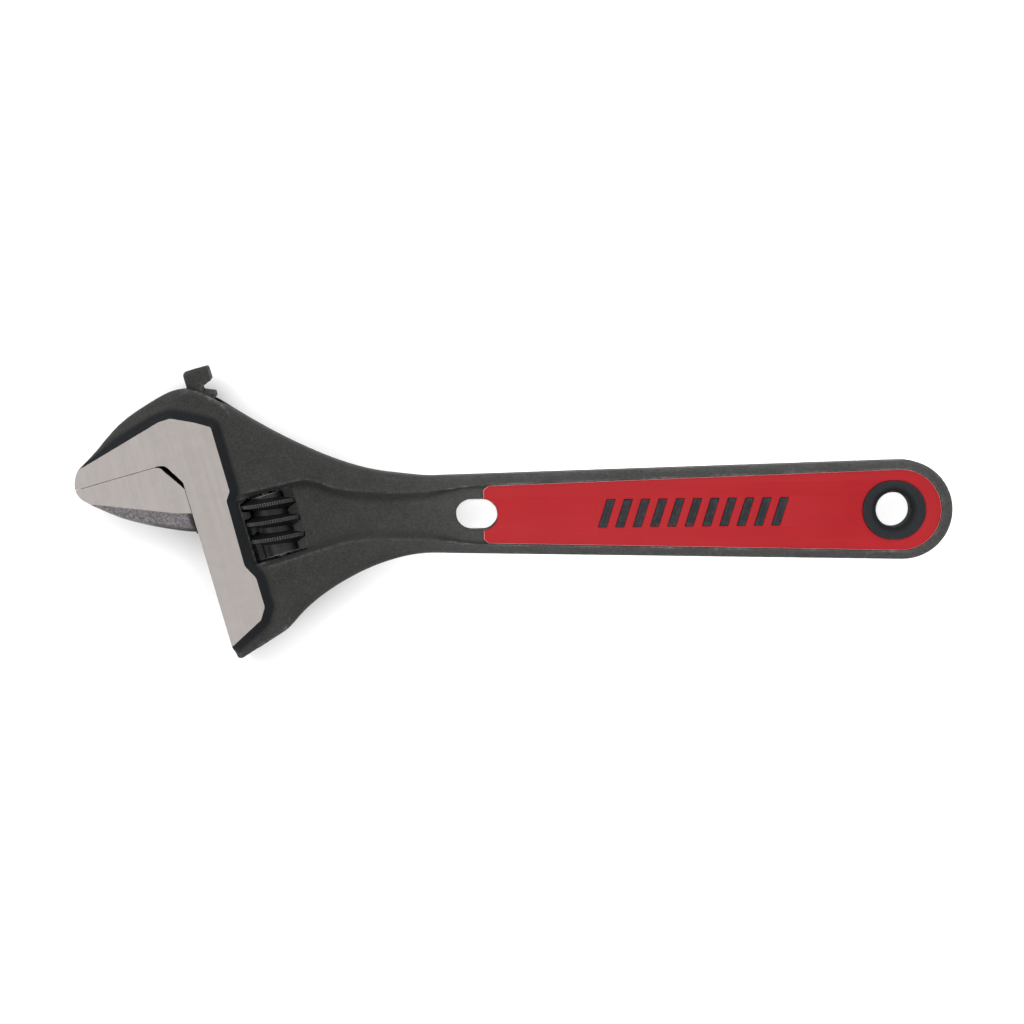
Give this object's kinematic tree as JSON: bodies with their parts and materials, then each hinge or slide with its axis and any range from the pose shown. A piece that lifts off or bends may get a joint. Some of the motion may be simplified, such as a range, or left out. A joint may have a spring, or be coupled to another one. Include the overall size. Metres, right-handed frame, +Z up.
{
  "type": "adjustable wrench",
  "caption": "Adjustable wrench with a knurled worm that slides its movable jaw, an angled forged head and a tapered handle with red inlays and a hanging eye.",
  "frame": {"origin": "centre of the hanging eye, half way through the thickness", "axes": "+X along the handle from the jaws to the eye end, +Y across it towards the fixed jaw's side, +Z up through the thickness, with the wrench lying flat"},
  "size_m": [0.207, 0.0696, 0.014],
  "materials": {
    "black_forging": "black phosphate over forged alloy steel, with the jaw and slide faces ground bright",
    "black_worm": "black phosphate, knurled crests",
    "plain_steel": "drawn steel",
    "spring_steel": "oiled spring wire",
    "red_inlay": "smooth red plastic sheet"
  },
  "bodies": {
    "frame": {"wrench_body": "black_forging", "worm_pin": "plain_steel", "worm_spring": "spring_steel", "front_panel": "red_inlay", "back_panel": "red_inlay"},
    "jaw": {"movable_jaw": "black_forging"},
    "worm_screw": {"worm": "black_worm"}
  },
  "joints": [
    {"name": "worm_turn", "type": "hinge", "parent": "frame", "child": "worm_screw", "pos_m": [-0.1471, -0.00179, 0], "axis": [0.2656, -0.9641, 0], "range_deg": [0, 2057.2]},
    {"name": "jaw_slide", "type": "slide", "parent": "frame", "child": "jaw", "axis": [0.2656, -0.9641, 0], "range_m": [0, 0.024]}
  ],
  "couplings": [
    {"joint": "worm_turn", "follows": "jaw_slide", "rad_per_m": 1496}
  ]
}
